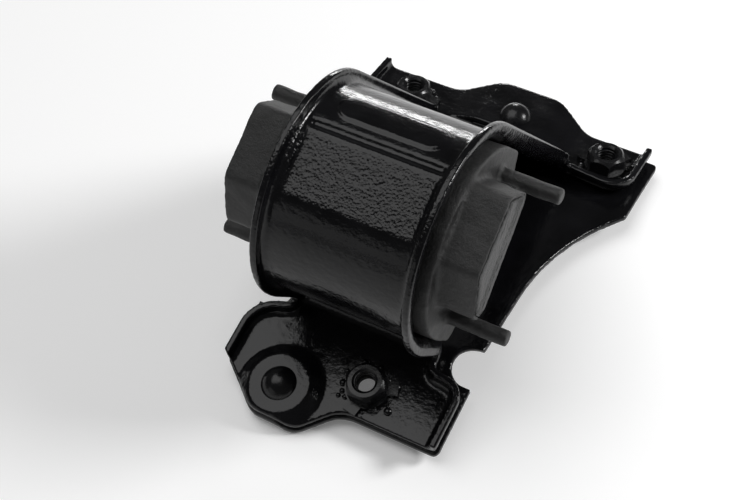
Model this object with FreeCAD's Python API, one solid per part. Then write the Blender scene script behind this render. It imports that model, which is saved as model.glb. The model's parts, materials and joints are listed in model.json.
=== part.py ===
import FreeCAD, Part
import math
import os

# Two-piece pressed steel engine mount: an arched upper shell riveted to a lower
# shell around a rubber cushion with a steel core. Millimetres.
# Shapes are drawn in the arch's own frame (x along the bolt axis, p across the
# arch, q up its middle) and then leaned back onto the mount's two feet.

LEAN = 40.0            # arch leans forward of upright by this much
SHEET = 3.0            # thickness of both pressings

ARCH_R = 42.0          # outside radius of the arch
ARCH_HALF = 27.3       # half length of the arch between its edge folds
FOLD_R = 3.0           # radius of the edge fold on its hollow side
RIM_H = 5.0            # height of the turned edge above the sheet

FRONT_DROP = 28.8      # arch centre down to the fold of the front foot
FRONT_TILT = 25.0      # front foot against the arch's cross axis
FRONT_BEND = 5.5       # bend between front wall and foot
FRONT_HALF = 48.3      # half width of the front foot
FRONT_REACH = 42.0     # front foot from fold to front edge
FRONT_TONGUE = 56.5    # the same, at the rivet's tongue

REAR_DROP = 109.0      # arch centre down to the fold of the rear foot
REAR_TILT = 47.0       # rear foot against the arch's cross axis
REAR_BEND = 6.0        # bend between rear wall and foot
REAR_HALF = 63.4       # half width of the rear foot
REAR_REACH = 23.5      # rear foot from fold to rear edge
REAR_TONGUE = 34.0     # the same, at the rivet
CORNER_Y = 39.0        # the front foot's left side runs to here, then slants
TONGUE_X = -27.0       # to the tongue's left end
LEFT_EAR = 7.0         # left ear of the rear foot is this much longer
NOTCH_R = 8.7          # relief notch between the lower shell's waist and front foot
NOTCH_X = 45.5
NOTCH_Y = 4.0
EAR_X = 38.0           # the rear foot's turned edge runs on from here,
EAR_Y = -0.4           # this far from the fold
EAR_SLOPE = 1.8        # and leans forward by this much at its corner
FLARE_H = 13.0         # height over the rear fold where the edge begins to flare

LIP = 1.0              # lower shell stands out past the upper at the front
WAIST_HALF = 46.0      # half width of the lower shell's waist
REAR_EAR_HALF = 67.0   # half width of the lower shell at the rear
WAIST_R = 99.0         # hollow of the lower shell's side edges
LOWER_BEND = 12.0      # bends of the lower shell, on top

FLAT_DEPTH = 2.2       # flat pressed across the arch, below the full radius
FLAT_ANGLE = 79.4      # middle of that flat, from the rear of the arch
GROOVE_ANGLE = 57.5    # groove along the rear of the flat
GROOVE_W = 3.6
GROOVE_DEPTH = 0.9
STRIP_ANGLE = 40.0     # raised strip behind the groove
STRIP_W = 13.0
STRIP_HALF = 22.0
STRIP_H = 0.8

PAD_H = 4.0            # rivet pads stand this high, so rivet tails stay clear
FRONT_PAD_X = -20.6
FRONT_PAD_Y = 43.0
FRONT_PAD_TOP = 12.5
FRONT_PAD_FOOT = 18.0
REAR_PAD_TOP = 15.0
REAR_PAD_FOOT = 29.0
REAR_RIVET_Y = 15.7

RIVET_R = 4.5
RIVET_HEAD_R = 7.3
RIVET_HEAD_H = 4.6
RIVET_TAIL_H = 2.6

NUT_FLATS = 15.0
NUT_H = 8.4
NUT_HOLE_R = 4.3       # M10 x 1.5, tapped
NUT_MOUTH_R = 5.2
NUT_RING_R = 7.0
NUT_FLANGE_R = 9.1 
NUT_FLANGE_T = 1.8
NUT_EAR = 12.4
BOLT_HOLE_R = 5.8      # bolt clearance through the sheets
FRONT_NUT_X = 12.0
FRONT_NUT_Y = 29.5
REAR_NUT_X = 47.7
REAR_NUT_Y = 7.0

CORE_HALF = 53.0       # steel core's half length
CORE_STEP = 7.0        # lower part of each end stands back by this
CORE_STEP_Q = 17.0
CORE_TOP = 35.5        # height of the core's top above the bolt axis
CORE_BOTTOM = -13.0
CORE_P = 24.0          # its half depth across the arch
CORE_BEVEL = 4.5       # its top slopes down by this at the rear
BORE_R = 6.25          # through bolt passage
SKIN = 1.6             # rubber over the core
CUSHION_HALF = 37.0    # cushion's half length at the arch
PEDESTAL_HALF = 25.0   # half length of its foot on the lower shell
STOP_R = 3.5           # rubber stops beside the core
STOP_P = 28.0
STOP_HALF = 62.0

VEC = FreeCAD.Vector
ORIGIN = VEC(0, 0, 0)
AXIS_X = VEC(1, 0, 0)


def plane_dirs(tilt, outward):
    """Along-foot and up directions of a foot's top face."""
    a = math.radians(tilt)
    if outward < 0:
        return VEC(0, -math.cos(a), math.sin(a)), VEC(0, math.sin(a), math.cos(a))
    return VEC(0, math.cos(a), -math.sin(a)), VEC(0, math.sin(a), math.cos(a))


FRONT_E, FRONT_N = plane_dirs(FRONT_TILT, -1)
REAR_E, REAR_N = plane_dirs(REAR_TILT, 1)
FRONT_K = VEC(0, -ARCH_R, -FRONT_DROP)
REAR_K = VEC(0, ARCH_R, -REAR_DROP)


def front(x, y, h=0.0):
    return FRONT_K + VEC(x, 0, 0) + FRONT_E * y + FRONT_N * h


def rear(x, y, h=0.0):
    return REAR_K + VEC(x, 0, 0) + REAR_E * y + REAR_N * h


def rounded(points, radii, close=True):
    """A wire through the points with each corner rounded by its radius."""
    return Part.Wire(rounded_edges(points, radii, close))


def rounded_edges(points, radii, close=True):
    n = len(points)
    starts, ends, arcs = [], [], []
    for i in range(n):
        p = points[i]
        r = radii[i]
        if r <= 0 or (not close and i in (0, n - 1)):
            starts.append(p)
            ends.append(p)
            arcs.append(None)
            continue
        a = (points[i - 1] - p).normalize()
        b = (points[(i + 1) % n] - p).normalize()
        half = a.getAngle(b) / 2
        back = r / math.tan(half)
        mid = (a + b).normalize()
        s = p + a * back
        e = p + b * back
        top = p + mid * (r / math.sin(half) - r)
        starts.append(s)
        ends.append(e)
        arcs.append(Part.Arc(s, top, e).toShape())
    edges = []
    for i in range(n):
        if arcs[i]:
            edges.append(arcs[i])
        if i == n - 1 and not close:
            break
        q = starts[(i + 1) % n]
        if (q - ends[i]).Length > 1e-6:
            edges.append(Part.makeLine(ends[i], q))
    return edges


def prism(wire, along, back=0.0, ahead=0.0):
    """Solid swept from `back` below the wire's plane to `ahead` above it."""
    face = Part.Face(wire)
    face.translate(along * -back)
    return face.extrude(along * (back + ahead))


def bend_setback(turn, r):
    return r * math.tan(math.radians(turn) / 2)


def arch_edges(d, lo_front, lo_rear, flat):
    """Edges of the arch's side view at depth d below its outside."""
    r = ARCH_R - d
    fs = bend_setback(90 + FRONT_TILT, FRONT_BEND)
    rs = bend_setback(90 - REAR_TILT, REAR_BEND)
    f0 = FRONT_K + FRONT_E * lo_front - FRONT_N * d
    f1 = FRONT_K + FRONT_E * fs - FRONT_N * d
    f2 = VEC(0, -r, -FRONT_DROP + fs)
    fc = FRONT_K + FRONT_E * fs + FRONT_N * FRONT_BEND
    r0 = REAR_K + REAR_E * lo_rear - REAR_N * d
    r1 = REAR_K + REAR_E * rs - REAR_N * d
    r2 = VEC(0, r, -REAR_DROP + rs)
    rc = REAR_K + REAR_E * rs + REAR_N * REAR_BEND
    fm = fc - ((fc - f1).normalize() + (fc - f2).normalize()).normalize() * (FRONT_BEND + d)
    rm = rc - ((rc - r1).normalize() + (rc - r2).normalize()).normalize() * (REAR_BEND + d)
    left = VEC(0, -r, 0)
    right = VEC(0, r, 0)
    edges = []
    if (f0 - f1).Length > 1e-6:
        edges.append(Part.makeLine(f0, f1))
    edges.append(Part.Arc(f1, fm, f2).toShape())
    edges.append(Part.makeLine(f2, left))
    if flat:
        half = math.degrees(math.acos((ARCH_R - FLAT_DEPTH - d) / r))
        a1 = math.radians(FLAT_ANGLE + half)
        a2 = math.radians(FLAT_ANGLE - half)
        p1 = VEC(0, r * math.cos(a1), r * math.sin(a1))
        p2 = VEC(0, r * math.cos(a2), r * math.sin(a2))
        am = (math.pi + a1) / 2
        bm = a2 / 2
        edges.append(Part.Arc(left, VEC(0, r * math.cos(am), r * math.sin(am)), p1).toShape())
        edges.append(Part.makeLine(p1, p2))
        edges.append(Part.Arc(p2, VEC(0, r * math.cos(bm), r * math.sin(bm)), right).toShape())
    else:
        edges.append(Part.Arc(left, VEC(0, 0, r), right).toShape())
    edges.append(Part.makeLine(right, r2))
    edges.append(Part.Arc(r2, rm, r1).toShape())
    if (r0 - r1).Length > 1e-6:
        edges.append(Part.makeLine(r1, r0))
    return edges


def arch_band(half):
    """The arch's sheet between its edge folds, with both foot bends."""
    fs = bend_setback(90 + FRONT_TILT, FRONT_BEND) + 1.0
    rs = bend_setback(90 - REAR_TILT, REAR_BEND) + 1.0
    outer = Part.Wire(arch_edges(0, fs, rs, True))
    inner = Part.Wire(arch_edges(SHEET, fs, rs, True))
    a, b = outer.OrderedVertexes[0].Point, outer.OrderedVertexes[-1].Point
    c, d = inner.OrderedVertexes[0].Point, inner.OrderedVertexes[-1].Point
    wire = Part.Wire(outer.Edges + [Part.makeLine(b, d)] + inner.Edges[::-1] + [Part.makeLine(c, a)])
    face = Part.Face(wire)
    face.translate(VEC(-half, 0, 0))
    return face.extrude(VEC(2 * half, 0, 0))


def edge_section(at, out, up, height=RIM_H):
    """Section of the turned edge: `at` on the sheet's top where the fold starts."""
    big = FOLD_R + SHEET
    c = at + up * FOLD_R
    s = math.sqrt(0.5)

    def pt(o, u):
        return at + out * o + up * u

    edges = [
        Part.makeLine(pt(0, 0), pt(0, -SHEET)),
        Part.Arc(pt(0, -SHEET), c + out * (big * s) - up * (big * s), pt(big, FOLD_R)).toShape(),
        Part.makeLine(pt(big, FOLD_R), pt(big, height)),
        Part.makeLine(pt(big, height), pt(FOLD_R, height)),
        Part.makeLine(pt(FOLD_R, height), pt(FOLD_R, FOLD_R)),
        Part.Arc(pt(FOLD_R, FOLD_R), c + out * (FOLD_R * s) - up * (FOLD_R * s), pt(0, 0)).toShape(),
    ]
    return Part.Wire(edges)


def edge_along(edges, up=None, hand=1):
    """Turned edge along a flat run of lines and arcs, each starting where the last
    one ended. `up` is the sheet's up for a run lying on a foot and `hand` the side
    it turns to; without them the run lies in the side view and turns along +X."""
    solids = []
    for e in edges:
        at = e.valueAt(e.FirstParameter)
        ahead = e.tangentAt(e.FirstParameter)
        if up:
            out, top = ahead.cross(up) * hand, up
        else:
            out, top = AXIS_X, AXIS_X.cross(ahead)
        face = Part.Face(edge_section(at, out, top))
        if isinstance(e.Curve, Part.Circle):
            last = e.tangentAt(e.LastParameter)
            mid = e.tangentAt((e.FirstParameter + e.LastParameter) / 2)
            axis = ahead.cross(mid).normalize()
            turn = math.degrees(2 * ahead.getAngle(mid))
            solids.append(face.revolve(e.Curve.Center, axis, turn))
        else:
            solids.append(face.extrude(e.valueAt(e.LastParameter) - at))
    return solids[0].fuse(solids[1:]) if len(solids) > 1 else solids[0]


def fixed(shape):
    solid = shape.removeSplitter()
    return solid


def mirrored(shape):
    return shape.mirror(ORIGIN, AXIS_X)


# ---- upper shell ----

def front_outline(grow=0.0, back=9.0):
    """Front foot from above: rivet tongue on the left, square on the right."""
    h = FRONT_HALF
    reach = FRONT_REACH + grow
    pts = [
        (h, back), (h, reach), (6.0, reach), (-8.0, FRONT_TONGUE + grow),
        (TONGUE_X, FRONT_TONGUE + grow), (-h, CORNER_Y + grow), (-h, back),
    ]
    radii = [0, 2.5, 14, 9, 11, 4, 0]
    return pts, radii


def rear_outline(grow_x=0.0, back=0.0):
    h = REAR_HALF + grow_x
    pts = [
        (h, back), (h, REAR_REACH), (34.0, REAR_REACH), (14.0, REAR_TONGUE + 1.5),
        (-14.0, REAR_TONGUE + 1.5), (-34.0, REAR_REACH), (-h, REAR_REACH), (-h, back),
    ]
    radii = [0, 2.5, 14, 22, 22, 14, 2.5, 0]
    return pts, radii


def slant_at(x):
    """Where the front foot's slanted left edge crosses x."""
    return CORNER_Y + (x + FRONT_HALF) * (FRONT_TONGUE - CORNER_Y) / (TONGUE_X + FRONT_HALF)


def front_sheet():
    """Front foot of the upper shell inside its turned edges."""
    side_x = FRONT_HALF - FOLD_R - SHEET
    right = front_edge_path(FRONT_REACH, False)
    left = [mirrored(e) for e in front_edge_path(slant_at(-side_x), True)]
    pts = [
        (side_x, FRONT_REACH), (6.0, FRONT_REACH), (-8.0, FRONT_TONGUE),
        (TONGUE_X, FRONT_TONGUE), (-side_x, slant_at(-side_x)),
    ]
    rim = rounded_edges([front(x, y) for x, y in pts], [0, 14, 9, 11, 0], close=False)
    start = bend_setback(90 + FRONT_TILT, FRONT_BEND)
    base = Part.makeLine(front(-ARCH_HALF, start), front(ARCH_HALF, start))
    return Part.Wire(Part.__sortEdges__(right + rim + left + [base]))


def rear_sheet():
    """Rear foot of the upper shell inside its turned edges."""
    inner = ARCH_HALF - 0.3
    clear = bend_setback(90 - REAR_TILT, REAR_BEND) + 0.5

    def half(more):
        side_x = REAR_HALF + more - FOLD_R - SHEET
        return [
            (inner, clear), (inner, EAR_Y), (EAR_X, EAR_Y), (side_x, EAR_Y - EAR_SLOPE),
            (side_x, REAR_REACH), (34.0, REAR_REACH), (14.0, REAR_TONGUE + 1.5),
        ]

    radii = [0, 0, 0, 6.0, 0, 14, 22]
    pts = half(0) + [(-x, y) for x, y in half(LEFT_EAR)[::-1]]
    return rounded([rear(x, y) for x, y in pts], radii + radii[::-1])


def foot_plate(place, up, outline, h_top, h_low):
    if isinstance(outline, Part.Wire):
        wire = outline
    else:
        pts, radii = outline
        wire = rounded([place(x, y, 0) for x, y in pts], radii)
    face = Part.Face(wire)
    face.translate(up * h_low)
    return face.extrude(up * (h_top - h_low))


def front_edge_path(reach, easy):
    """Fold line of the front foot's turned edge, from the arch out to the corner.
    The left one, `easy`, slants out; the right one turns square."""
    out_r = 3.5 + FOLD_R + SHEET
    side_x = FRONT_HALF - FOLD_R - SHEET
    start = bend_setback(90 + FRONT_TILT, FRONT_BEND)
    wide = start + out_r
    first = start + 6.0 if easy else wide
    pts = [
        front(ARCH_HALF, start), front(ARCH_HALF, first),
        front(side_x, wide + 1.5), front(side_x, reach),
    ]
    radii = [0, 7.0, 9.0, 0] if easy else [0, out_r - 0.6, 3.0, 0]
    return rounded_edges(pts, radii, close=False)


def rear_edge_path(more):
    side_x = REAR_HALF + more - FOLD_R - SHEET
    pts = [rear(EAR_X, EAR_Y), rear(side_x, EAR_Y - EAR_SLOPE), rear(side_x, REAR_REACH)]
    return rounded_edges(pts, [0, 6.0, 0], close=False)


def flare_at(t, end):
    """Root of the flaring edge, from the rear wall (t = 0) to the ear (t = 1)."""
    top = VEC(ARCH_HALF, ARCH_R, -REAR_DROP + FLARE_H)
    corner = VEC(ARCH_HALF + 1.0, ARCH_R, -REAR_DROP + 0.5)
    return top * (1 - t) ** 2 + corner * (2 * t * (1 - t)) + end * t ** 2


def rear_flare(more):
    """Turned edge where it leaves the rear wall and runs out round the nut's ear."""
    first = rear_edge_path(more)[0]
    end = first.valueAt(first.FirstParameter)
    ahead = first.tangentAt(first.FirstParameter)
    n0, u0 = VEC(1, 0, 0), VEC(0, 1, 0)
    n1, u1 = ahead.cross(REAR_N), REAR_N
    wires = []
    steps = 6
    for i in range(steps + 1):
        t = i / steps
        w = t * t * (3 - 2 * t)
        out = (n0 * (1 - w) + n1 * w).normalize()
        up = u0 * (1 - w) + u1 * w
        up = (up - out * up.dot(out)).normalize()
        wires.append(edge_section(flare_at(t, end) + ahead * (0.5 * t), out, up))
    return Part.makeLoft(wires, True, False)


def flare_web(more):
    """Sheet of the rear wall between the arch's own side and the flaring edge."""
    first = rear_edge_path(more)[0]
    end = first.valueAt(first.FirstParameter)
    pts = [flare_at(i / 6, end) + VEC(0.3, 0, 0) for i in range(7)]
    pts = [VEC(ARCH_HALF - 0.3, ARCH_R, pts[0].z)] + pts
    pts.append(VEC(end.x, ARCH_R, -REAR_DROP - 6.0))
    pts.append(VEC(ARCH_HALF - 0.3, ARCH_R, -REAR_DROP - 6.0))
    flat = [VEC(p.x, ARCH_R, p.z) for p in pts]
    web = Part.Face(Part.makePolygon(flat + [flat[0]])).extrude(VEC(0, -SHEET, 0))
    under = zone(rear, REAR_N * -1, -60.0)
    under.translate(REAR_N * (40.0 - SHEET))
    return web.cut(under)


def arch_edge():
    """Turned edge over the arch and down both walls."""
    edges = arch_edges(0, bend_setback(90 + FRONT_TILT, FRONT_BEND), 0, False)
    keep = []
    stop = -REAR_DROP + FLARE_H
    for e in edges:
        a, b = e.Vertexes[0].Point, e.Vertexes[-1].Point
        if abs(a.y - ARCH_R) < 1e-6 and abs(b.y - ARCH_R) < 1e-6:
            keep.append(Part.makeLine(VEC(0, ARCH_R, 0), VEC(0, ARCH_R, stop)))
            break
        keep.append(e)
    for e in keep:
        e.translate(VEC(ARCH_HALF, 0, 0))
    return edge_along(keep)


def front_pad(h):
    cone = Part.makeCone(FRONT_PAD_FOOT, FRONT_PAD_TOP, PAD_H, ORIGIN, VEC(0, 0, 1))
    cone = cone.fuse(Part.makeCylinder(FRONT_PAD_FOOT, 1.0, VEC(0, 0, -1.0)))
    return set_on(cone, front(FRONT_PAD_X, FRONT_PAD_Y, h), FRONT_N)


def rear_pad(h):
    pts = [
        VEC(-REAR_PAD_FOOT, 0, -1.0), VEC(-REAR_PAD_FOOT, 0, 0), VEC(-REAR_PAD_TOP, 0, PAD_H),
        VEC(REAR_PAD_TOP, 0, PAD_H), VEC(REAR_PAD_FOOT, 0, 0), VEC(REAR_PAD_FOOT, 0, -1.0),
    ]
    wire = rounded(pts, [0, 0, 8, 8, 0, 0])
    solid = Part.Face(wire).extrude(VEC(0, 40.0, 0))
    solid.translate(VEC(0, 4.5, 0))
    return laid_on(solid, rear(0, 0, h), REAR_TILT)


def set_on(shape, at, up):
    """Stand a shape built on +Z at a point with its Z along `up`."""
    s = shape.copy()
    s.Placement = FreeCAD.Placement(at, FreeCAD.Rotation(VEC(0, 0, 1), up)).multiply(s.Placement)
    return s


def laid_on(shape, at, tilt):
    """Same, for a shape whose Y runs down the rear foot."""
    s = shape.copy()
    turn = FreeCAD.Rotation(AXIS_X, -tilt)
    s.Placement = FreeCAD.Placement(at, turn).multiply(s.Placement)
    return s


def pole(at, up, r, low, high):
    return Part.makeCylinder(r, high - low, at + up * low, up)


def nut_places():
    return {
        "front_weld_nut": (front(FRONT_NUT_X, FRONT_NUT_Y), FRONT_N, (20.0, 140.0, 260.0)),
        "rear_left_weld_nut": (rear(-REAR_NUT_X, REAR_NUT_Y), REAR_N, (8.0, 120.0)),
        "rear_right_weld_nut": (rear(REAR_NUT_X, REAR_NUT_Y), REAR_N, (60.0, 172.0)),
    }


def rivet_places():
    return {
        "front_rivet": (front(FRONT_PAD_X, FRONT_PAD_Y, PAD_H), FRONT_N),
        "rear_rivet": (rear(0, REAR_RIVET_Y, PAD_H), REAR_N),
    }


def strip():
    """Raised strip with round ends, pressed along the arch."""
    half = STRIP_W / 2
    shell = Part.makeCylinder(ARCH_R + STRIP_H, 2 * STRIP_HALF, VEC(-STRIP_HALF, 0, 0), AXIS_X)
    straight = STRIP_HALF - half
    body = Part.makeBox(2 * straight, STRIP_W, 8.0, VEC(-straight, -half, ARCH_R - 5.0))
    for side in (-1, 1):
        body = body.fuse(Part.makeCylinder(half, 8.0, VEC(side * straight, 0, ARCH_R - 5.0)))
    body.rotate(ORIGIN, AXIS_X, STRIP_ANGLE - 90.0)
    core = Part.makeCylinder(ARCH_R - 1.5, 4 * STRIP_HALF, VEC(-2 * STRIP_HALF, 0, 0), AXIS_X)
    return body.common(shell).cut(core)


def groove():
    a = math.radians(GROOVE_ANGLE)
    r = (GROOVE_W ** 2 / 4 + GROOVE_DEPTH ** 2) / (2 * GROOVE_DEPTH)
    d = ARCH_R - 0.35 - GROOVE_DEPTH + r
    at = VEC(-2 * ARCH_HALF, d * math.cos(a), d * math.sin(a))
    return Part.makeCylinder(r, 4 * ARCH_HALF, at, AXIS_X)


def upper_shell():
    band = arch_band(ARCH_HALF)
    band = band.cut(groove().common(Part.makeBox(
        2 * ARCH_HALF, 200, 200, VEC(-ARCH_HALF, -100, -100))))
    band = band.fuse(strip())
    f_plate = padded(front, FRONT_N, front_sheet(), front_pad)
    r_plate = padded(rear, REAR_N, rear_sheet(), rear_pad)
    arch = arch_edge()
    right = [arch.fuse([rear_flare(0), edge_along(rear_edge_path(0), REAR_N)]), flare_web(0)]
    left = [
        arch.fuse([rear_flare(LEFT_EAR), edge_along(rear_edge_path(LEFT_EAR), REAR_N)]),
        flare_web(LEFT_EAR),
    ]
    edges = right + [mirrored(s) for s in left]
    edges.append(edge_along(front_edge_path(FRONT_REACH, False), FRONT_N, -1))
    side = mirrored(edge_along(front_edge_path(FRONT_TONGUE, True), FRONT_N, -1))
    edges.append(side.common(foot_plate(front, FRONT_N, slanted_blank(), 20, -20)))
    shell = band
    for s in [f_plate, r_plate] + edges:
        shell = shell.fuse(s)
    cutters = []
    for at, up, _ in nut_places().values():
        cutters.append(pole(at, up, BOLT_HOLE_R, -20, 20))
    for at, up in rivet_places().values():
        cutters.append(pole(at, up, RIVET_R, -20, 20))
    return fixed(shell.cut(cutters))


def slanted_blank():
    """What the slanted cut leaves of the front foot's left side."""
    x0, x1 = -2 * FRONT_HALF, 0.0
    return [(x0, slant_at(x0)), (x1, slant_at(x1)), (x1, -60.0), (x0, -60.0)], [0] * 4


def padded(place, up, outline, pad):
    """A foot's sheet with its rivet pad pressed up."""
    plate = foot_plate(place, up, outline, 0, -SHEET)
    bump = pad(0).common(foot_plate(place, up, outline, 20, -2))
    return plate.fuse(bump).cut(pad(-SHEET))


# ---- lower shell ----

def lower_path(d):
    """Side view of the lower shell, d below its top face."""
    e = SHEET + d
    tip_f = front(0, 90, -e)
    tip_r = rear(0, 90, -e)
    b_f = front(0, 0, -SHEET)
    b_r = rear(0, 0, -SHEET)
    along = (b_r - b_f).normalize()
    up = VEC(0, -along.z, along.y)
    m_f = crossing(tip_f, FRONT_E, b_f - up * d, along)
    m_r = crossing(tip_r, REAR_E, b_f - up * d, along)
    r = LOWER_BEND + d
    return rounded([tip_f, m_f, m_r, tip_r], [0, r, r, 0], close=False), up, along, b_r


def crossing(p, u, q, v):
    """Where two lines in the side view meet."""
    den = u.y * v.z - u.z * v.y
    w = q - p
    t = (w.y * v.z - w.z * v.y) / den
    return p + u * t


def lower_band():
    top, up, along, b_r = lower_path(0)
    low = lower_path(SHEET)[0]
    a, b = top.OrderedVertexes[0].Point, top.OrderedVertexes[-1].Point
    c, d = low.OrderedVertexes[0].Point, low.OrderedVertexes[-1].Point
    wire = Part.Wire(top.Edges + [Part.makeLine(b, d)] + low.Edges[::-1] + [Part.makeLine(c, a)])
    face = Part.Face(wire)
    face.translate(VEC(-90, 0, 0))
    return face.extrude(VEC(180, 0, 0)), up, along, b_r


def waist_plan(up, along, b_r):
    """Lower shell from above behind the front foot: broad at the rear, waisted."""
    half, wide = WAIST_HALF, REAR_EAR_HALF
    c_end = 75.0
    rise = math.sqrt(WAIST_R ** 2 - (half + WAIST_R - wide) ** 2)
    c_start = c_end - rise
    back = -REAR_TONGUE - 4.0

    def at(x, c):
        return b_r - along * c + VEC(x, 0, 0) - up * 30

    def side(s):
        mid_c = (c_start + c_end) / 2
        mid_x = half + WAIST_R - math.sqrt(WAIST_R ** 2 - (c_end - mid_c) ** 2)
        return Part.Arc(at(s * wide, c_start), at(s * mid_x, mid_c), at(s * half, c_end)).toShape()

    c_front = 128.0
    edges = [
        side(1),
        Part.makeLine(at(half, c_end), at(half, c_front)),
        Part.makeLine(at(half, c_front), at(-half, c_front)),
        Part.makeLine(at(-half, c_front), at(-half, c_end)),
        side(-1),
        Part.makeLine(at(-wide, c_start), at(-wide, back)),
        Part.makeLine(at(-wide, back), at(wide, back)),
        Part.makeLine(at(wide, back), at(wide, c_start)),
    ]
    return Part.Face(Part.Wire(Part.__sortEdges__(edges))).extrude(up * 60)


def lower_shell():
    band, up, along, b_r = lower_band()
    plan = waist_plan(up, along, b_r)
    f_cut = foot_plate(front, FRONT_N, front_outline(LIP, -8.0), 15, -25)
    r_pts, r_rad = rear_outline(REAR_EAR_HALF - REAR_HALF, -20.0)
    r_cut = foot_plate(rear, REAR_N, (r_pts, r_rad), 15, -25)
    f_zone = zone(front, FRONT_N, 4.0)
    r_zone = zone(rear, REAR_N, 0.0)
    front_part = band.common(f_zone).common(f_cut)
    rear_part = band.common(r_zone).common(r_cut).common(plan)
    middle = band.common(plan).cut(f_zone).cut(r_zone)
    shell = middle.fuse([front_part, rear_part])
    f_lim = foot_plate(front, FRONT_N, front_outline(LIP, -8.0), 30, -SHEET - 2)
    r_lim = foot_plate(rear, REAR_N, (r_pts, r_rad), 30, -SHEET - 2)
    shell = shell.fuse([front_pad(-SHEET).common(f_lim), rear_pad(-SHEET).common(r_lim)])
    shell = shell.cut([front_pad(-2 * SHEET), rear_pad(-2 * SHEET)])
    cutters = []
    for at, up_, _ in nut_places().values():
        cutters.append(pole(at, up_, BOLT_HOLE_R + 0.5, -20, 20))
    for at, up_ in rivet_places().values():
        cutters.append(pole(at, up_, RIVET_R, -20, 20))
    notch = pole(front(NOTCH_X, NOTCH_Y), FRONT_N, NOTCH_R, -20, 20)
    slot = [(NOTCH_X, NOTCH_Y - NOTCH_R), (NOTCH_X + 30, NOTCH_Y - NOTCH_R),
            (NOTCH_X + 30, NOTCH_Y + NOTCH_R), (NOTCH_X, NOTCH_Y + NOTCH_R)]
    notch = notch.fuse(foot_plate(front, FRONT_N, (slot, [0] * 4), 20, -20))
    cutters += [notch, mirrored(notch)]
    return fixed(shell.cut(cutters))


def zone(place, up, y0):
    wire = Part.makePolygon([
        place(-90, y0, -40), place(90, y0, -40), place(90, 120, -40), place(-90, 120, -40),
        place(-90, y0, -40)])
    return Part.Face(wire).extrude(up * 80)


# ---- core and rubber ----

def side_prism(points, half, radii=None):
    pts = [VEC(-half, p, q) for p, q in points]
    wire = rounded(pts, radii or [0] * len(pts))
    return Part.Face(wire).extrude(VEC(2 * half, 0, 0))


def core_points(grow=0.0):
    """Section of the core, or of the rubber skin over it."""
    g = grow
    return [
        (CORE_P + g, CORE_BOTTOM - g), (CORE_P + g, CORE_STEP_Q),
        (CORE_P - 0.75 * CORE_BEVEL + g, CORE_TOP - CORE_BEVEL + g),
        (-CORE_P / 3, CORE_TOP + g), (-CORE_P + 1.5 - g, CORE_STEP_Q + 1.25 * CORE_BEVEL),
        (-CORE_P - g, CORE_BOTTOM - g),
    ]


def inner_core():
    body = side_prism(core_points(), CORE_HALF, [4, 6, 3, 3, 4, 4])
    for side in (-1, 1):
        x = CORE_HALF - CORE_STEP if side > 0 else -CORE_HALF
        body = body.cut(Part.makeBox(CORE_STEP, 80, 60, VEC(x, -40, CORE_STEP_Q - 60)))
    bore = Part.makeCylinder(BORE_R, 3 * CORE_HALF, VEC(-1.5 * CORE_HALF, 0, 0), AXIS_X)
    body = body.cut(bore)
    return fixed(body)


def cushion(upper, lower, core):
    inside = ARCH_R - SHEET
    top = Part.makeCylinder(inside, 2 * CUSHION_HALF, VEC(-CUSHION_HALF, 0, 0), AXIS_X)
    lid = Part.makeBox(2 * CUSHION_HALF, 2 * inside, inside, VEC(-CUSHION_HALF, -inside, 0))
    top = top.common(lid)
    sides = side_prism([
        (inside, 0), (inside, -13.0), (25.0, -22.0), (-25.0, -22.0), (-inside, -13.0),
        (-inside, 0)], CUSHION_HALF, [0, 3, 6, 6, 3, 0])
    foot = side_prism([
        (26.0, -18.0), (6.0, -95.0), (-60.0, -40.0), (-30.0, -12.0)], PEDESTAL_HALF)
    path, up, along, b_r = lower_path(0)
    b_f = front(0, 0, -SHEET)
    floor = Part.makePolygon([
        b_f - along * 60 - VEC(90, 0, 0), b_r + along * 60 - VEC(90, 0, 0),
        b_r + along * 60 + VEC(90, 0, 0), b_f - along * 60 + VEC(90, 0, 0),
        b_f - along * 60 - VEC(90, 0, 0)])
    below = Part.Face(floor).extrude(up * -100)
    walls = side_prism([
        (-inside, 40), (-inside, -120), (inside, -120), (inside, 40)], 80)
    foot = foot.cut(below).common(walls)
    skin = side_prism(core_points(SKIN), CORE_HALF, [5, 6, 4, 4, 5, 5])
    for side in (-1, 1):
        x = CORE_HALF - CORE_STEP if side > 0 else -CORE_HALF
        skin = skin.cut(Part.makeBox(CORE_STEP, 90, 60, VEC(x, -45, CORE_STEP_Q - 60)))
    body = top.fuse([sides, foot, skin])
    for s in (-1, 1):
        rod = Part.makeCylinder(STOP_R, 2 * STOP_HALF, VEC(-STOP_HALF, s * STOP_P, 0), AXIS_X)
        body = body.fuse(rod)
    body = body.cut([upper, lower, core])
    bore = Part.makeCylinder(BORE_R, 3 * CORE_HALF, VEC(-1.5 * CORE_HALF, 0, 0), AXIS_X)
    return fixed(biggest(body.cut(bore)))


def biggest(shape):
    return max(shape.Solids, key=lambda s: s.Volume)


# ---- fasteners ----

def rivet(at, up):
    r = (RIVET_HEAD_R ** 2 + RIVET_HEAD_H ** 2) / (2 * RIVET_HEAD_H)
    ball = Part.makeSphere(r, VEC(0, 0, RIVET_HEAD_H - r))
    head = ball.common(Part.makeCylinder(RIVET_HEAD_R + 1, RIVET_HEAD_H + 1))
    grip = 2 * SHEET
    shank = Part.makeCylinder(RIVET_R, grip + 1.0, VEC(0, 0, -grip - 0.5))
    tail = Part.makeCone(RIVET_R + 0.8, RIVET_R + 2.2, RIVET_TAIL_H, VEC(0, 0, -grip - RIVET_TAIL_H))
    return set_on(fixed(head.fuse([shank, tail])), at, up)


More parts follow.
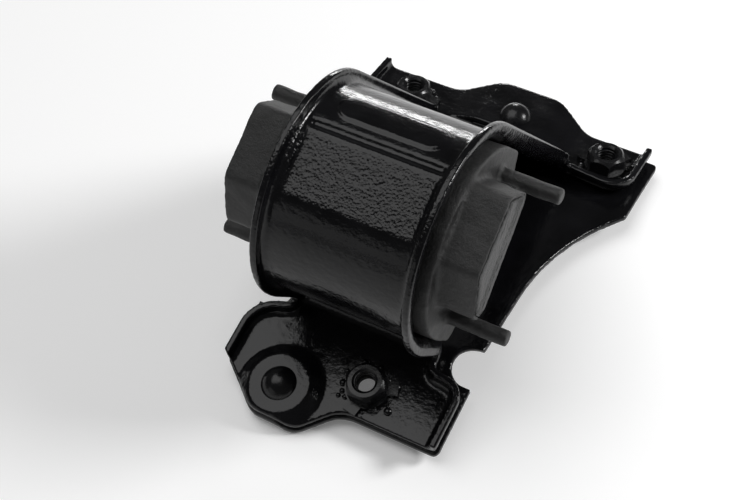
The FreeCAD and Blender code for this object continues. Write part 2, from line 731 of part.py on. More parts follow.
def weld_nut(at, up, ears):
    """Hexagon weld nut with a round flange and welded ears at the given angles."""
    hexagon = Part.makePolygon([
        VEC(NUT_FLATS / math.sqrt(3) * math.cos(math.radians(60 * i)),
            NUT_FLATS / math.sqrt(3) * math.sin(math.radians(60 * i)), 0) for i in range(7)])
    body = Part.Face(hexagon).extrude(VEC(0, 0, NUT_H - 1.0))
    crown = Part.makeCone(NUT_RING_R + 2.2, NUT_RING_R - 0.2, 2.4, VEC(0, 0, NUT_H - 2.4))
    crown = crown.common(Part.Face(hexagon).extrude(VEC(0, 0, NUT_H)))
    body = body.common(Part.makeCylinder(NUT_FLANGE_R, NUT_H - 2.4)).fuse(crown)
    flange = Part.makeCylinder(NUT_FLANGE_R, NUT_FLANGE_T)
    for a in ears:
        ear = Part.makeBox(NUT_EAR, 6.0, NUT_FLANGE_T, VEC(0, -3.0, 0))
        ear.rotate(ORIGIN, VEC(0, 0, 1), a)
        flange = flange.fuse(ear)
    nut = body.fuse(flange)
    nut = nut.cut(Part.makeCylinder(NUT_HOLE_R, NUT_H + 2, VEC(0, 0, -1)))
    mouth = Part.makeCone(NUT_HOLE_R, NUT_MOUTH_R, NUT_MOUTH_R - NUT_HOLE_R,
                          VEC(0, 0, NUT_H - NUT_MOUTH_R + NUT_HOLE_R))
    nut = nut.cut(mouth)
    return set_on(fixed(nut), at, up)


def build():
    upper = upper_shell()
    lower = lower_shell()
    core = inner_core()
    parts = {
        "upper_shell": upper,
        "lower_shell": lower,
        "inner_core": core,
        "rubber_cushion": cushion(upper, lower, core),
    }
    for name, (at, up) in rivet_places().items():
        parts[name] = rivet(at, up)
    for name, (at, up, ears) in nut_places().items():
        parts[name] = weld_nut(at, up, ears)
    return parts


os.makedirs("parts", exist_ok=True)
for node, shape in build().items():
    shape.rotate(ORIGIN, AXIS_X, LEAN)
    shape.exportStep("parts/" + node + ".step")
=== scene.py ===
import json
import math
import bpy
import bmesh
from mathutils import Matrix, Vector, noise


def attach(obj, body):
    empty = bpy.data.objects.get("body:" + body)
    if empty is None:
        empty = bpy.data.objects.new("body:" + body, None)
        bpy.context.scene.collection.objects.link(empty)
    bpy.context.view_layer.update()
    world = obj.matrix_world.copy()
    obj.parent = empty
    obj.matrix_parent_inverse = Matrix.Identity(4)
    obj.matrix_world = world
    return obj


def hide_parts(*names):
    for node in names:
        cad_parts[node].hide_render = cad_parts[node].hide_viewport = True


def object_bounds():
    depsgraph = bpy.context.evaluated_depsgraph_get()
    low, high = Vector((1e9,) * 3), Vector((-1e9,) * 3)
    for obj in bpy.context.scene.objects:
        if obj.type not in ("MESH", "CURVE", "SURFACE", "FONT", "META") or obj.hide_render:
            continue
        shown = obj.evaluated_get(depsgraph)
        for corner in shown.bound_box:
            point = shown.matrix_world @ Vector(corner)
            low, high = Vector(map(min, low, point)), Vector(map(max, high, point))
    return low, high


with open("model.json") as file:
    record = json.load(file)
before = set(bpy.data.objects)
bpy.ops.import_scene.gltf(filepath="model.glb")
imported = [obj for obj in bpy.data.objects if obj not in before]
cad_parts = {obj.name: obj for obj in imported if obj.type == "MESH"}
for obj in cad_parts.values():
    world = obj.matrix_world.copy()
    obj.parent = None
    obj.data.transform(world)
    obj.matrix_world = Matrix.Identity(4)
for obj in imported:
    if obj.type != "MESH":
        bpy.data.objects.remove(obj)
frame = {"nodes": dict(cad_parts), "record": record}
cadLow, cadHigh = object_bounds()    # the size of the solids, before anything is added
nodes = frame["nodes"]
mounts = {m["name"]: m for m in frame["record"]["mounts"]}
print("frame loaded:", len(nodes), "pieces")


def linkObject(name, mesh):
    piece = bpy.data.objects.new(name, mesh)
    bpy.context.scene.collection.objects.link(piece)
    return piece


def smoothFaces(mesh):
    mesh.polygons.foreach_set("use_smooth", [True] * len(mesh.polygons))


# turn a piece with live modifiers into a plain mesh
def bakeModifiers(piece):
    graph = bpy.context.evaluated_depsgraph_get()
    mesh = bpy.data.meshes.new_from_object(piece.evaluated_get(graph))
    piece.modifiers.clear()
    piece.data = mesh
    return piece


# one material, smooth faces, and the piece's place on the only body
def finishPiece(piece, mat, slotName, *replaced):
    piece.data.materials.clear()
    piece.data.materials.append(mat)
    smoothFaces(piece.data)
    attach(piece, "root")
    if replaced:
        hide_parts(*replaced)
    return piece


def newMaterial(name):
    mat = bpy.data.materials.new(name)
    mat.use_nodes = True
    tree = mat.node_tree
    tree.nodes.clear()
    out = tree.nodes.new("ShaderNodeOutputMaterial")
    shader = tree.nodes.new("ShaderNodeBsdfPrincipled")
    coords = tree.nodes.new("ShaderNodeTexCoord")
    tree.links.new(shader.outputs[0], out.inputs[0])
    return mat, tree, shader, coords


def noiseNode(tree, coords, scale, detail=3.0, rough=0.5, warp=0.0):
    grain = tree.nodes.new("ShaderNodeTexNoise")
    for label, value in (("Scale", scale), ("Detail", detail), ("Roughness", rough), ("Distortion", warp)):
        grain.inputs[label].default_value = value
    tree.links.new(coords.outputs["Object"], grain.inputs["Vector"])
    return grain.outputs["Fac"]


def rangeNode(tree, source, fromLow, fromHigh, toLow, toHigh):
    spread = tree.nodes.new("ShaderNodeMapRange")
    for label, value in (("From Min", fromLow), ("From Max", fromHigh),
                         ("To Min", toLow), ("To Max", toHigh)):
        spread.inputs[label].default_value = value
    tree.links.new(source, spread.inputs["Value"])
    return spread.outputs["Result"]


def mathNode(tree, kind, a, b):
    step = tree.nodes.new("ShaderNodeMath")
    step.operation = kind
    for socket, value in zip(step.inputs, (a, b)):
        if isinstance(value, (int, float)):
            socket.default_value = value
        else:
            tree.links.new(value, socket)
    return step.outputs[0]


def bumpNode(tree, height, strength, distance, before=None):
    bump = tree.nodes.new("ShaderNodeBump")
    bump.inputs["Strength"].default_value = strength
    bump.inputs["Distance"].default_value = distance
    tree.links.new(height, bump.inputs["Height"])
    if before:
        tree.links.new(before, bump.inputs["Normal"])
    return bump.outputs["Normal"]


def colourRamp(tree, source, low, high, lowAt=0.0, highAt=1.0):
    ramp = tree.nodes.new("ShaderNodeValToRGB")
    for stop, at, colour in zip(ramp.color_ramp.elements, (lowAt, highAt), (low, high)):
        stop.position = at
        stop.color = (*colour, 1)
    tree.links.new(source, ramp.inputs["Fac"])
    return ramp.outputs["Color"]


# arm along the arch's radius and arm across it, both in the plane square to the bolt
def turnedPair(tree, split, degrees):
    turn = math.radians(degrees)
    y, z = split.outputs["Y"], split.outputs["Z"]
    ahead = mathNode(tree, "ADD", mathNode(tree, "MULTIPLY", y, math.cos(turn)),
                     mathNode(tree, "MULTIPLY", z, math.sin(turn)))
    aside = mathNode(tree, "ADD", mathNode(tree, "MULTIPLY", y, -math.sin(turn)),
                     mathNode(tree, "MULTIPLY", z, math.cos(turn)))
    return ahead, aside


# glossy black dip paint: faint patches, smudges in the gloss, a slow wave and fine orange peel
paintLook = {
    "dark": (0.0022, 0.0022, 0.0026), "light": (0.006, 0.006, 0.007),
    "roughLow": 0.1, "roughHigh": 0.22, "peelScale": 420.0, "peelDepth": 0.00024, "shine": 0.28,
    "patchScale": 45.0, "smudgeScale": 90.0, "waveScale": 150.0, "waveDepth": 0.0004, "waveStrength": 0.35,
}


def blackPaint(name, look, peel=0.35, extraHeight=None):
    mat, tree, shader, coords = newMaterial(name)
    patches = noiseNode(tree, coords, look["patchScale"], 4.0, 0.6)
    tree.links.new(colourRamp(tree, patches, look["dark"], look["light"], 0.35, 0.75),
                   shader.inputs["Base Color"])
    smudge = noiseNode(tree, coords, look["smudgeScale"], 5.0, 0.65, 0.4)
    tree.links.new(rangeNode(tree, smudge, 0.3, 0.75, look["roughLow"], look["roughHigh"]),
                   shader.inputs["Roughness"])
    wave = noiseNode(tree, coords, look["waveScale"], 2.0, 0.5)
    fine = noiseNode(tree, coords, look["peelScale"], 3.0, 0.6)
    normal = bumpNode(tree, wave, look["waveStrength"], look["waveDepth"])
    normal = bumpNode(tree, fine, peel, look["peelDepth"], normal)
    if extraHeight:
        height, strength, distance = extraHeight(tree, coords)
        normal = bumpNode(tree, height, strength, distance, normal)
    tree.links.new(normal, shader.inputs["Normal"])
    shader.inputs["Specular IOR Level"].default_value = look["shine"]
    return mat


# the flat panel's leathery paint: cells fade in only on the flat across the arch
panelLook = {"angle": 79.4 + 40.0, "height": 0.0398, "halfWidth": 0.0135, "cellScale": 1000.0,
             "creaseScale": 420.0, "strength": 0.6, "depth": 0.00034,
             "fadeBelow": 0.0016, "fadeFull": 0.0004, "sideFade": 0.002}


def leatherPanel(tree, coords):
    split = tree.nodes.new("ShaderNodeSeparateXYZ")
    tree.links.new(coords.outputs["Object"], split.inputs[0])
    outward, across = turnedPair(tree, split, panelLook["angle"])
    lifted = rangeNode(tree, outward, panelLook["height"] - panelLook["fadeBelow"],
                       panelLook["height"] - panelLook["fadeFull"], 0.0, 1.0)
    side = mathNode(tree, "ABSOLUTE", across, 0.0)
    inside = rangeNode(tree, side, panelLook["halfWidth"] - panelLook["sideFade"],
                       panelLook["halfWidth"], 1.0, 0.0)
    cells = tree.nodes.new("ShaderNodeTexVoronoi")
    cells.feature = "SMOOTH_F1"
    cells.inputs["Scale"].default_value = panelLook["cellScale"]
    tree.links.new(coords.outputs["Object"], cells.inputs["Vector"])
    creases = noiseNode(tree, coords, panelLook["creaseScale"], 4.0, 0.65, 0.6)
    height = mathNode(tree, "ADD", cells.outputs["Distance"], creases)
    worn = mathNode(tree, "MULTIPLY", lifted, inside)
    return mathNode(tree, "MULTIPLY", height, worn), panelLook["strength"], panelLook["depth"]


sheetPaint = blackPaint("sheetPaint", paintLook, 0.75, leatherPanel)
lowerPaint = blackPaint("lowerPaint", paintLook, 0.6)
fastenerPaint = blackPaint("fastenerPaint", dict(paintLook, roughLow=0.14, roughHigh=0.34,
                                                  light=(0.012, 0.012, 0.013)), 0.5)
print("paint ready")


# matt black rubber with a grey bloom, and the paler, coarser surface of the block
rubberLook = {"dark": (0.005, 0.005, 0.005), "light": (0.02, 0.02, 0.02),
              "roughLow": 0.42, "roughHigh": 0.68,
              "bloomScale": 70.0, "lumpScale": 120.0, "lumpDepth": 0.0008,
              "grainScale": 620.0, "grainDepth": 0.0005}
# the darkest block colour is torn rubber darkened further with painted shade
blockLook = dict(rubberLook, dark=(0.011, 0.011, 0.011), light=(0.05, 0.05, 0.051),
                 tornShade=(0.004, 0.004, 0.004), grainScale=480.0, grainDepth=0.0006)


# the block's two end faces: a smooth pale band beside a torn strip darkened with painted shade, and a
# crack in the band drawn as a dark line of painted shade
tornShadeLook = {"lean": 40.0, "from": 0.0505, "edge": 0.0235, "wander": 0.007, "crackAt": 0.0292,
            "crackHalf": 0.0006, "crackFrom": 0.006, "crackFade": 0.002, "depth": 0.0011,
            "fade": 0.0008, "edgeFade": 0.0004, "waveScale": 260.0}


def tornEndsAndShade(tree, coords):
    split = tree.nodes.new("ShaderNodeSeparateXYZ")
    tree.links.new(coords.outputs["Object"], split.inputs[0])
    along, across = turnedPair(tree, split, tornShadeLook["lean"])
    atEnd = rangeNode(tree, mathNode(tree, "ABSOLUTE", split.outputs["X"], 0.0),
                      tornShadeLook["from"], tornShadeLook["from"] + tornShadeLook["fade"], 0.0, 1.0)
    wobble = noiseNode(tree, coords, tornShadeLook["waveScale"], 5.0, 0.7, 0.5)
    shift = mathNode(tree, "MULTIPLY", mathNode(tree, "SUBTRACT", wobble, 0.5), tornShadeLook["wander"])
    wavy = mathNode(tree, "ADD", across, shift)
    # the torn strip's mask: torn rubber, also darkened in colour as painted shade
    tornShade = rangeNode(tree, wavy, tornShadeLook["edge"] - tornShadeLook["edgeFade"], tornShadeLook["edge"], 1.0, 0.0)
    # painted shade: the crack is a thin dark line in the colour, and the bump also sinks it
    gap = mathNode(tree, "ABSOLUTE", mathNode(tree, "SUBTRACT", wavy, tornShadeLook["crackAt"]), 0.0)
    crackShade = rangeNode(tree, gap, tornShadeLook["crackHalf"] * 0.5, tornShadeLook["crackHalf"], 1.0, 0.0)
    upper = rangeNode(tree, along, tornShadeLook["crackFrom"], tornShadeLook["crackFrom"] + tornShadeLook["crackFade"],
                      0.0, 1.0)
    tornAndShadeMask = mathNode(tree, "MAXIMUM", tornShade, mathNode(tree, "MULTIPLY", crackShade, upper))
    return mathNode(tree, "MULTIPLY", tornAndShadeMask, atEnd)


def rubberMaterial(name, look, tornAndShadePart=None):
    mat, tree, shader, coords = newMaterial(name)
    bloom = noiseNode(tree, coords, look["bloomScale"], 6.0, 0.7, 0.3)
    colour = colourRamp(tree, bloom, look["dark"], look["light"], 0.35, 0.8)
    tornAndShadeMask = tornAndShadePart(tree, coords) if tornAndShadePart else None
    if tornAndShadeMask:
        # painted shade: the torn strip and the crack are mixed to the darker end colour
        mix = tree.nodes.new("ShaderNodeMix")
        mix.data_type = "RGBA"
        tree.links.new(tornAndShadeMask, mix.inputs[0])    # inputs 6 and 7 and output 2 are the colour ones
        tree.links.new(colour, mix.inputs[6])
        mix.inputs[7].default_value = (*look["tornShade"], 1)
        colour = mix.outputs[2]
    tree.links.new(colour, shader.inputs["Base Color"])
    tree.links.new(rangeNode(tree, bloom, 0.3, 0.8, look["roughLow"], look["roughHigh"]),
                   shader.inputs["Roughness"])
    grain = noiseNode(tree, coords, look["grainScale"], 5.0, 0.75)
    lumps = noiseNode(tree, coords, look["lumpScale"], 3.0, 0.5)
    normal = bumpNode(tree, lumps, 0.5, look["lumpDepth"])
    normal = bumpNode(tree, grain, 0.9, look["grainDepth"], normal)
    if tornAndShadeMask:
        sunk = mathNode(tree, "MULTIPLY", tornAndShadeMask, mathNode(tree, "SUBTRACT", grain, 1.2))
        normal = bumpNode(tree, sunk, 0.9, tornShadeLook["depth"], normal)
    tree.links.new(normal, shader.inputs["Normal"])
    return mat


cushionRubber = rubberMaterial("cushionRubber", rubberLook)
coreMetal = rubberMaterial("coreMetal", blockLook, tornEndsAndShade)
for nodeName in ("front_rivet", "rear_rivet", "front_weld_nut", "rear_left_weld_nut",
                 "rear_right_weld_nut"):
    for slot in nodes[nodeName].material_slots:
        slot.material = fastenerPaint
print("materials ready")


# pressed sheets, core and rubber, with their rolled and moulded edges rounded over
skinSizes = {
    "upper_shell": {"voxel": 0.0006, "smooth": 7, "keep": 0.4, "name": "upperShell",
                    "mat": sheetPaint, "slot": "black_paint"},
    "lower_shell": {"voxel": 0.0007, "smooth": 5, "keep": 0.55, "name": "lowerShell",
                    "mat": lowerPaint, "slot": "black_paint"},
    "rubber_cushion": {"voxel": 0.0008, "smooth": 8, "keep": 0.7, "name": "rubberCushion",
                       "mat": cushionRubber, "slot": "rubber", "waveScale": 160.0, "waveDepth": 0.0005},
    "inner_core": {"voxel": 0.0009, "smooth": 5, "keep": 0.7, "name": "coreBlock",
                   "mat": coreMetal, "slot": "core_metal"},
}


def roundedSkin(nodeName, sizes):
    piece = linkObject(sizes["name"], nodes[nodeName].data.copy())
    weld = piece.modifiers.new("weld", "WELD")
    weld.merge_threshold = 0.000001    # the solids' meshes are loose triangles
    remesh = piece.modifiers.new("remesh", "REMESH")
    remesh.mode = "VOXEL"
    remesh.voxel_size = sizes["voxel"]
    soften = piece.modifiers.new("soften", "SMOOTH")
    soften.factor = 0.5
    soften.iterations = sizes["smooth"]
    thin = piece.modifiers.new("thin", "DECIMATE")
    thin.ratio = sizes["keep"]
    bakeModifiers(piece)
    return piece


# slow unevenness of moulded rubber, only ever inwards
def mouldWaves(mesh, scale, depth):
    mesh.update()
    moved = []
    for v in mesh.vertices:
        moved.extend(v.co - v.normal * (depth * (0.5 + 0.5 * noise.noise(v.co * scale))))
    mesh.vertices.foreach_set("co", moved)
    mesh.update()


for nodeName, sizes in skinSizes.items():
    piece = roundedSkin(nodeName, sizes)
    if "waveDepth" in sizes:
        mouldWaves(piece.data, sizes["waveScale"], sizes["waveDepth"])
    finishPiece(piece, sizes["mat"], sizes["slot"], nodeName)
    print(sizes["name"], len(piece.data.polygons), "faces")


# threads inside the weld nuts, and spatter left round them by the welding
nutSizes = {
    "mounts": ("front_thread", "rear_left_thread", "rear_right_thread"),
    "threadRadius": 0.00432, "pitch": 0.0015, "turns": 4.6, "ridge": 0.00062,
    "collarRadius": 0.0067, "collarRidge": 0.00065, "collarHeight": 0.0036,
    "spatterRing": 0.0098, "spatterCount": 38, "spatterSmall": 0.0003, "spatterLarge": 0.0018,
    "spatterScatter": 0.0024, "spatterHeight": -0.00345, "seed": 11,
}


# the nut's own place: origin in the middle of its thread, +Z up out of the foot
def nutFrame(name):
    mount = mounts[name]
    up = -Vector(mount["axis"]).normalized()
    side = Vector((1, 0, 0))
    ahead = up.cross(side).normalized()
    turn = Matrix((side, ahead, up)).transposed().to_4x4()
    return Matrix.Translation(Vector(mount["pos_m"])) @ turn


def newTree(name, inputs):
    tree = bpy.data.node_groups.new(name, "GeometryNodeTree")
    tree.interface.new_socket("Geometry", in_out="INPUT", socket_type="NodeSocketGeometry")
    tree.interface.new_socket("Geometry", in_out="OUTPUT", socket_type="NodeSocketGeometry")
    for label, kind, value in inputs:
        socket = tree.interface.new_socket(label, in_out="INPUT", socket_type=kind)
        socket.default_value = value
    return tree, tree.nodes.new("NodeGroupInput"), tree.nodes.new("NodeGroupOutput")


# every tree ends with real geometry and its material
def endTree(tree, last, mat, out):
    real = tree.nodes.new("GeometryNodeRealizeInstances")
    coat = tree.nodes.new("GeometryNodeSetMaterial")
    coat.inputs["Material"].default_value = mat
    tree.links.new(last.outputs[0], real.inputs[0])
    tree.links.new(real.outputs[0], coat.inputs[0])
    tree.links.new(coat.outputs[0], out.inputs[0])
    return tree


def runTree(piece, tree, values):
    mod = piece.modifiers.new(tree.name, "NODES")
    mod.node_group = tree
    for item in tree.interface.items_tree:
        if item.in_out == "INPUT" and item.name in values:
            mod[item.identifier] = values[item.name]
    return bakeModifiers(piece)


def threadTree(mat):
    tree, given, out = newTree("threadTree", [
        ("Radius", "NodeSocketFloat", 0.004), ("Pitch", "NodeSocketFloat", 0.0015),
        ("Turns", "NodeSocketFloat", 4.0), ("Ridge", "NodeSocketFloat", 0.0005)])
    new, link = tree.nodes.new, tree.links.new
    spiral = new("GeometryNodeCurveSpiral")
    spiral.inputs["Resolution"].default_value = 40    # points in one turn
    height = new("ShaderNodeMath")
    height.operation = "MULTIPLY"
    link(given.outputs["Pitch"], height.inputs[0])
    link(given.outputs["Turns"], height.inputs[1])
    link(given.outputs["Turns"], spiral.inputs["Rotations"])
    link(given.outputs["Radius"], spiral.inputs["Start Radius"])
    link(given.outputs["Radius"], spiral.inputs["End Radius"])
    link(height.outputs[0], spiral.inputs["Height"])
    ring = new("GeometryNodeCurvePrimitiveCircle")
    ring.inputs["Resolution"].default_value = 6
    link(given.outputs["Ridge"], ring.inputs["Radius"])
    tube = new("GeometryNodeCurveToMesh")
    tube.inputs["Fill Caps"].default_value = True
    link(spiral.outputs[0], tube.inputs["Curve"])
    link(ring.outputs["Curve"], tube.inputs["Profile Curve"])
    return endTree(tree, tube, mat, out)


def spatterTree(mat):
    tree, given, out = newTree("spatterTree", [
        ("Count", "NodeSocketInt", 20), ("Small", "NodeSocketFloat", 0.0004),
        ("Large", "NodeSocketFloat", 0.0012), ("Scatter", "NodeSocketFloat", 0.002),
        ("Seed", "NodeSocketInt", 1)])
    new, link = tree.nodes.new, tree.links.new
    curve = new("GeometryNodeMeshToCurve")
    points = new("GeometryNodeCurveToPoints")
    points.mode = "COUNT"
    link(given.outputs["Geometry"], curve.inputs["Mesh"])
    link(curve.outputs[0], points.inputs["Curve"])
    link(given.outputs["Count"], points.inputs["Count"])
    jitter = new("FunctionNodeRandomValue")
    jitter.data_type = "FLOAT_VECTOR"
    jitter.inputs["Min"].default_value = (-1, -1, -0.06)
    jitter.inputs["Max"].default_value = (1, 1, 0.02)
    link(given.outputs["Seed"], jitter.inputs["Seed"])
    spread = new("ShaderNodeVectorMath")
    spread.operation = "SCALE"
    link(jitter.outputs["Value"], spread.inputs[0])
    link(given.outputs["Scatter"], spread.inputs["Scale"])
    move = new("GeometryNodeSetPosition")
    link(points.outputs["Points"], move.inputs["Geometry"])
    link(spread.outputs[0], move.inputs["Offset"])
    blob = new("GeometryNodeMeshIcoSphere")
    blob.inputs["Subdivisions"].default_value = 2
    blob.inputs["Radius"].default_value = 1.0
    size = new("FunctionNodeRandomValue")
    size.data_type = "FLOAT"
    link(given.outputs["Small"], size.inputs[2])
    link(given.outputs["Large"], size.inputs[3])
    link(given.outputs["Seed"], size.inputs["Seed"])
    flat = new("ShaderNodeCombineXYZ")
    squash = new("ShaderNodeMath")
    squash.operation = "MULTIPLY"
    squash.inputs[1].default_value = 0.7    # blobs lie a little flat
    link(size.outputs[1], squash.inputs[0])
    link(size.outputs[1], flat.inputs[0])
    link(size.outputs[1], flat.inputs[1])
    link(squash.outputs[0], flat.inputs[2])
    place = new("GeometryNodeInstanceOnPoints")
    link(move.outputs[0], place.inputs["Points"])
    link(blob.outputs["Mesh"], place.inputs["Instance"])
    link(flat.outputs[0], place.inputs["Scale"])
    return endTree(tree, place, mat, out)


# a tree's result as a plain mesh of its own
def grownMesh(tree, values, source=None):
    work = linkObject("treeWork", source or bpy.data.meshes.new("treeWork"))
    runTree(work, tree, values)
    mesh = work.data.copy()
    bpy.data.objects.remove(work)
    return mesh


def ringMesh(name, radius, steps=48):
    mesh = bpy.data.meshes.new(name)
    points = [(radius * math.cos(2 * math.pi * i / steps), radius * math.sin(2 * math.pi * i / steps), 0)
              for i in range(steps)]
    mesh.from_pydata(points, [(i, (i + 1) % steps) for i in range(steps)], [])
    return mesh


def joinMeshes(name, parts):
    whole = bmesh.new()
    for mesh in parts:
        whole.from_mesh(mesh)
    joined = bpy.data.meshes.new(name)
    whole.to_mesh(joined)
    whole.free()
    return joined


def makeNutDetails(sizes):
    threads, spatters = [], []
    helix, spray = threadTree(fastenerPaint), spatterTree(fastenerPaint)
    for index, name in enumerate(sizes["mounts"]):
        at = nutFrame(name)
        thread = grownMesh(helix, {"Radius": sizes["threadRadius"], "Pitch": sizes["pitch"],
                                   "Turns": sizes["turns"], "Ridge": sizes["ridge"]})
        thread.transform(at @ Matrix.Translation((0, 0, -0.5 * sizes["pitch"] * sizes["turns"])))
        collar = grownMesh(helix, {"Radius": sizes["collarRadius"], "Pitch": 0.0, "Turns": 1.0,
                                   "Ridge": sizes["collarRidge"]})
        collar.transform(at @ Matrix.Translation((0, 0, sizes["collarHeight"])))
        threads += [thread, collar]
        spatter = grownMesh(spray, {"Count": sizes["spatterCount"], "Small": sizes["spatterSmall"],
                                    "Large": sizes["spatterLarge"], "Scatter": sizes["spatterScatter"],
                                    "Seed": sizes["seed"] + index},
                            ringMesh("spatterRing", sizes["spatterRing"]))
        spatter.transform(at @ Matrix.Translation((0, 0, sizes["spatterHeight"])))
        spatters.append(spatter)
    for pieceName, parts in (("nutThreads", threads), ("weldSpatter", spatters)):
        finishPiece(linkObject(pieceName, joinMeshes(pieceName, parts)), fastenerPaint, "painted_steel")
    print("nut threads and weld spatter done")


makeNutDetails(nutSizes)


# thin ragged rubber flash left round the block's two end faces by the mould
flashSizes = {"count": 260, "thick": 0.00045, "wander": 0.0011, "ripple": 420.0, "inset": 0.0006,
              "seed": 5.0, "faceDepth": 0.0004, "binDegrees": 6}


# the outer line of one end face, found from the points of the block's own solid
def endOutline(node, side, sizes):
    reach = max(side * v.co.x for v in node.data.vertices)
    ring = {(round(v.co.y, 5), round(v.co.z, 5)) for v in node.data.vertices
            if side * v.co.x > reach - sizes["faceDepth"]}
    middle = Vector((0, sum(y for y, z in ring) / len(ring), sum(z for y, z in ring) / len(ring)))
    farthest = {}
    for y, z in sorted(ring):
        arm = Vector((0, y, z)) - middle
        key = int(math.degrees(math.atan2(arm.z, arm.y)) // sizes["binDegrees"])
        if key not in farthest or arm.length > farthest[key].length:
            farthest[key] = arm
    out = Vector((side * (reach - sizes["inset"]), 0, 0))
    points = [middle + farthest[key] * (1.0 - sizes["inset"] / farthest[key].length) + out
              for key in sorted(farthest)]
    mesh = bpy.data.meshes.new("endOutline")
    mesh.from_pydata(points, [(i, (i + 1) % len(points)) for i in range(len(points))], [])
    return mesh


def flashTree(mat):
    tree, given, out = newTree("flashTree", [
        ("Count", "NodeSocketInt", 200), ("Thick", "NodeSocketFloat", 0.0004),
        ("Wander", "NodeSocketFloat", 0.001), ("Ripple", "NodeSocketFloat", 400.0),
        ("Seed", "NodeSocketFloat", 1.0)])
    new, link = tree.nodes.new, tree.links.new
    curve = new("GeometryNodeMeshToCurve")
    even = new("GeometryNodeResampleCurve")
    link(given.outputs["Geometry"], curve.inputs["Mesh"])
    link(curve.outputs[0], even.inputs["Curve"])
    link(given.outputs["Count"], even.inputs["Count"])
    wobble = new("ShaderNodeTexNoise")
    wobble.noise_dimensions = "4D"
    wobble.inputs["Detail"].default_value = 3.0
    link(given.outputs["Seed"], wobble.inputs["W"])
    link(given.outputs["Ripple"], wobble.inputs["Scale"])
    middle = new("ShaderNodeVectorMath")
    middle.operation = "SUBTRACT"
    middle.inputs[1].default_value = (0.5, 0.5, 0.5)
    link(wobble.outputs["Color"], middle.inputs[0])
    spread = new("ShaderNodeVectorMath")    # the wander either side of the line
    spread.operation = "SCALE"
    link(middle.outputs[0], spread.inputs[0])
    link(given.outputs["Wander"], spread.inputs["Scale"])
    move = new("GeometryNodeSetPosition")
    link(even.outputs[0], move.inputs["Geometry"])
    link(spread.outputs[0], move.inputs["Offset"])
    ring = new("GeometryNodeCurvePrimitiveCircle")
    ring.inputs["Resolution"].default_value = 6
    link(given.outputs["Thick"], ring.inputs["Radius"])
    tube = new("GeometryNodeCurveToMesh")
    tube.inputs["Fill Caps"].default_value = True
    link(move.outputs[0], tube.inputs["Curve"])
    link(ring.outputs["Curve"], tube.inputs["Profile Curve"])
    return endTree(tree, tube, mat, out)


def makeFlash(sizes):
    tree = flashTree(cushionRubber)
    rims = [grownMesh(tree, {"Count": sizes["count"], "Thick": sizes["thick"], "Wander": sizes["wander"],
                             "Ripple": sizes["ripple"], "Seed": sizes["seed"] + side},
                      endOutline(nodes["inner_core"], side, sizes))
            for side in (-1, 1)]
    finishPiece(linkObject("mouldFlash", joinMeshes("mouldFlash", rims)), cushionRubber, "rubber")
    print("mould flash done")


makeFlash(flashSizes)


# lamps stand round the mount and face it: a low one behind for the bright crest, a wide one above,
# a faint one in front and one at the right
stageLook = {
    "floorWhite": 0.96, "floorLift": 0.12, "worldLight": 0.08,
    "keyAt": (-0.36, 0.98, 0.1), "keySize": (0.24, 0.06), "keyPower": 1.7,
    "topAt": (-0.36, -0.02, 1.05), "topSize": (1.0, 1.05), "topPower": 7.6,
    "frontAt": (-0.34, -0.95, 0.17), "frontSize": (0.7, 0.3), "frontPower": 0.4,
    "rimAt": (0.75, 0.42, 0.5), "rimSize": (0.3, 0.2), "rimPower": 7.6,
    "aim": (0, 0.03, 0), "floorHalf": 3.0, "floorGap": 0.0002,
}
cameraPlace = {
    "at": (0.190, -0.325, 0.433),
    "right": (0.877, 0.480, -0.036),
    "up": (-0.350, 0.688, 0.636),
    "lens": 72.0,
}


def makeCamera(place):
    data = bpy.data.cameras.new("viewCamera")
    data.lens = place["lens"]
    data.sensor_width = 36.0
    data.clip_start = 0.02
    data.clip_end = 20.0
    camera = bpy.data.objects.new("viewCamera", data)
    bpy.context.scene.collection.objects.link(camera)
    right = Vector(place["right"]).normalized()
    up = Vector(place["up"])
    up = (up - right * up.dot(right)).normalized()
    back = right.cross(up)
    turn = Matrix((right, up, back)).transposed()
    camera.matrix_world = Matrix.Translation(Vector(place["at"])) @ turn.to_4x4()
    bpy.context.scene.camera = camera
    return camera


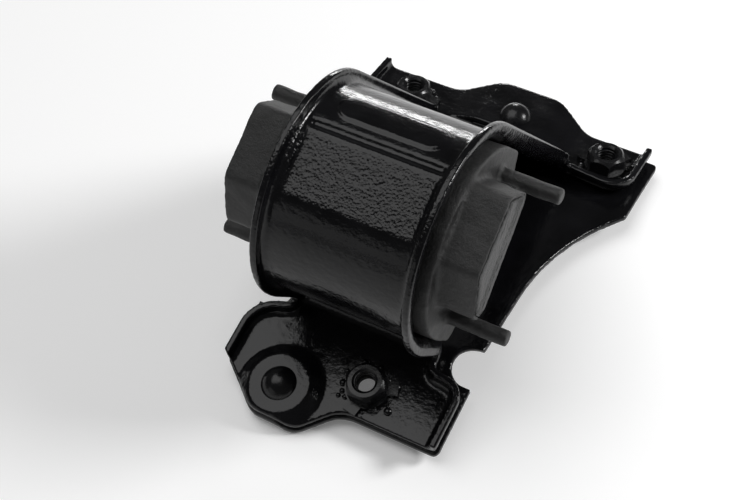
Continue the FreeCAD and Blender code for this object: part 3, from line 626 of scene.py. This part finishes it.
def makeFloor(low):
    half = stageLook["floorHalf"]
    mesh = bpy.data.meshes.new("floor")
    mesh.from_pydata([(-half, -half, low), (half, -half, low), (half, half, low), (-half, half, low)],
                     [], [(0, 1, 2, 3)])
    floor = linkObject("floor", mesh)
    mat = bpy.data.materials.new("floorWhite")
    mat.use_nodes = True
    tree = mat.node_tree
    tree.nodes.clear()
    out = tree.nodes.new("ShaderNodeOutputMaterial")
    paint = tree.nodes.new("ShaderNodeBsdfDiffuse")
    white = stageLook["floorWhite"]
    paint.inputs["Color"].default_value = (white, white, white, 1)
    lift = tree.nodes.new("ShaderNodeEmission")
    path = tree.nodes.new("ShaderNodeLightPath")
    seen = mathNode(tree, "MAXIMUM", path.outputs["Is Camera Ray"], path.outputs["Is Glossy Ray"])
    seen = mathNode(tree, "MAXIMUM", seen, path.outputs["Is Transmission Ray"])
    tree.links.new(mathNode(tree, "MULTIPLY", seen, stageLook["floorLift"]), lift.inputs["Strength"])
    both = tree.nodes.new("ShaderNodeAddShader")
    tree.links.new(paint.outputs[0], both.inputs[0])
    tree.links.new(lift.outputs[0], both.inputs[1])
    tree.links.new(both.outputs[0], out.inputs[0])
    mesh.materials.append(mat)
    return floor


def areaLamp(name, at, aim, size, power):
    data = bpy.data.lights.new(name, "AREA")
    data.shape = "RECTANGLE"
    data.size, data.size_y = size
    data.energy = power
    lamp = bpy.data.objects.new(name, data)
    bpy.context.scene.collection.objects.link(lamp)
    lamp.location = at
    lamp.rotation_euler = (Vector(aim) - Vector(at)).to_track_quat("-Z", "Y").to_euler()
    return lamp


def makeStage():
    scene = bpy.context.scene
    scene.view_settings.view_transform = "Standard"
    world = bpy.data.worlds.new("studio")
    world.use_nodes = True
    tree = world.node_tree
    back = tree.nodes["Background"]
    back.inputs["Color"].default_value = (1, 1, 1, 1)
    back.inputs["Strength"].default_value = stageLook["worldLight"]
    scene.world = world
    makeFloor(cadLow.z - stageLook["floorGap"])
    for lamp in ("key", "top", "front", "rim"):
        areaLamp(lamp + "Lamp", stageLook[lamp + "At"], stageLook["aim"], stageLook[lamp + "Size"],
                 stageLook[lamp + "Power"])
    makeCamera(cameraPlace)
    print("stage, lamps and camera ready")


makeStage()
